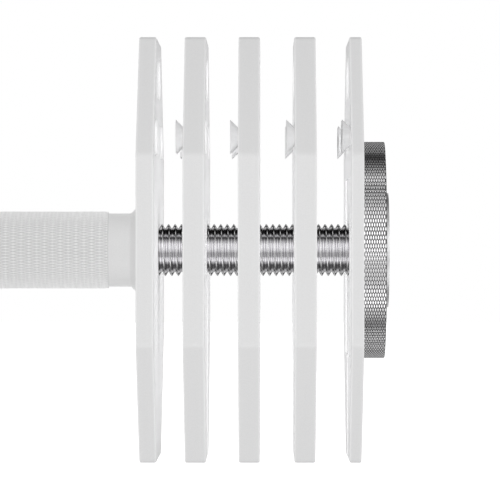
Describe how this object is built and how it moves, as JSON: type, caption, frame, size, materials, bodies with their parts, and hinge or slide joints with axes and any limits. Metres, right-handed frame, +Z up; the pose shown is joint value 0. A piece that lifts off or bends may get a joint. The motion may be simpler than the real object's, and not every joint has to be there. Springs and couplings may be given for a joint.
{
  "type": "adjustable dumbbell",
  "caption": "Adjustable dumbbell with a knurled grip, octagonal loose plates hung on threaded studs by open bar slots, dovetail keys between plates, and knurled clamping nuts.",
  "frame": {"origin": "middle of the grip, on the bar's axis", "axes": "+X along the bar, +Z up with the finger slots at the top, +Y to the back"},
  "size_m": [0.3188, 0.16, 0.16],
  "materials": {
    "plate_paint": "pale grey powder coat, fine grain, soft sheen",
    "key_paint": "pale grey coat over machined steel, soft sheen",
    "grip_paint": "pale grey satin coat over knurled and turned steel",
    "thread_chrome": "bright plated screw thread",
    "nut_chrome": "bright plated, knurled rim",
    "plain_steel": "zinc plated steel",
    "ring_rubber": "matt black rubber"
  },
  "bodies": {
    "handle": {"handle_core": "plain_steel", "grip_sleeve": "grip_paint", "collar_right": "grip_paint", "head_plate_right": "plate_paint", "threaded_stud_right": "thread_chrome", "dowel_pins_right": "plain_steel", "collar_left": "grip_paint", "head_plate_left": "plate_paint", "threaded_stud_left": "thread_chrome", "dowel_pins_left": "plain_steel"},
    "plate_1_right": {"weight_plate_1_right": "plate_paint", "plate_1_key_front_right": "key_paint", "plate_1_key_rear_right": "key_paint", "plate_1_key_screws_right": "plain_steel"},
    "plate_2_right": {"weight_plate_2_right": "plate_paint", "plate_2_key_front_right": "key_paint", "plate_2_key_rear_right": "key_paint", "plate_2_key_screws_right": "plain_steel"},
    "plate_3_right": {"weight_plate_3_right": "plate_paint", "plate_3_key_front_right": "key_paint", "plate_3_key_rear_right": "key_paint", "plate_3_key_screws_right": "plain_steel"},
    "end_plate_right": {"end_plate_right": "plate_paint", "end_plate_key_front_right": "key_paint", "end_plate_key_rear_right": "key_paint", "end_plate_key_screws_right": "plain_steel"},
    "nut_right": {"nut_disc_right": "nut_chrome", "nut_bush_right": "nut_chrome", "nut_screws_right": "plain_steel", "nut_friction_ring_right": "ring_rubber"},
    "plate_1_left": {"weight_plate_1_left": "plate_paint", "plate_1_key_front_left": "key_paint", "plate_1_key_rear_left": "key_paint", "plate_1_key_screws_left": "plain_steel"},
    "plate_2_left": {"weight_plate_2_left": "plate_paint", "plate_2_key_front_left": "key_paint", "plate_2_key_rear_left": "key_paint", "plate_2_key_screws_left": "plain_steel"},
    "plate_3_left": {"weight_plate_3_left": "plate_paint", "plate_3_key_front_left": "key_paint", "plate_3_key_rear_left": "key_paint", "plate_3_key_screws_left": "plain_steel"},
    "end_plate_left": {"end_plate_left": "plate_paint", "end_plate_key_front_left": "key_paint", "end_plate_key_rear_left": "key_paint", "end_plate_key_screws_left": "plain_steel"},
    "nut_left": {"nut_disc_left": "nut_chrome", "nut_bush_left": "nut_chrome", "nut_screws_left": "plain_steel", "nut_friction_ring_left": "ring_rubber"}
  },
  "joints": [
    {"name": "plate_1_slide_right", "type": "slide", "parent": "handle", "child": "plate_1_right", "axis": [-1, 0, 0], "range_m": [0, 0.0104]},
    {"name": "plate_2_slide_right", "type": "slide", "parent": "handle", "child": "plate_2_right", "axis": [-1, 0, 0], "range_m": [0, 0.0224]},
    {"name": "plate_3_slide_right", "type": "slide", "parent": "handle", "child": "plate_3_right", "axis": [-1, 0, 0], "range_m": [0, 0.0351]},
    {"name": "end_plate_slide_right", "type": "slide", "parent": "handle", "child": "end_plate_right", "axis": [-1, 0, 0], "range_m": [0, 0.0476]},
    {"name": "nut_spin_right", "type": "hinge", "parent": "end_plate_right", "child": "nut_right", "pos_m": [0.1535, 0, 0], "axis": [-1, 0, 0], "range_deg": [0, 6854.4]},
    {"name": "plate_1_slide_left", "type": "slide", "parent": "handle", "child": "plate_1_left", "axis": [1, 0, 0], "range_m": [0, 0.0104]},
    {"name": "plate_2_slide_left", "type": "slide", "parent": "handle", "child": "plate_2_left", "axis": [1, 0, 0], "range_m": [0, 0.0224]},
    {"name": "plate_3_slide_left", "type": "slide", "parent": "handle", "child": "plate_3_left", "axis": [1, 0, 0], "range_m": [0, 0.0351]},
    {"name": "end_plate_slide_left", "type": "slide", "parent": "handle", "child": "end_plate_left", "axis": [1, 0, 0], "range_m": [0, 0.0476]},
    {"name": "nut_spin_left", "type": "hinge", "parent": "end_plate_left", "child": "nut_left", "pos_m": [-0.1535, 0, 0], "axis": [1, 0, 0], "range_deg": [0, 6854.4]}
  ],
  "couplings": [
    {"joint": "plate_1_slide_right", "follows": "nut_spin_right", "m_per_rad": 0.000086933},
    {"joint": "plate_2_slide_right", "follows": "nut_spin_right", "m_per_rad": 0.00018724},
    {"joint": "plate_3_slide_right", "follows": "nut_spin_right", "m_per_rad": 0.0002934},
    {"joint": "end_plate_slide_right", "follows": "nut_spin_right", "m_per_rad": 0.00039789},
    {"joint": "plate_1_slide_left", "follows": "nut_spin_left", "m_per_rad": 0.000086933},
    {"joint": "plate_2_slide_left", "follows": "nut_spin_left", "m_per_rad": 0.00018724},
    {"joint": "plate_3_slide_left", "follows": "nut_spin_left", "m_per_rad": 0.0002934},
    {"joint": "end_plate_slide_left", "follows": "nut_spin_left", "m_per_rad": 0.00039789}
  ]
}
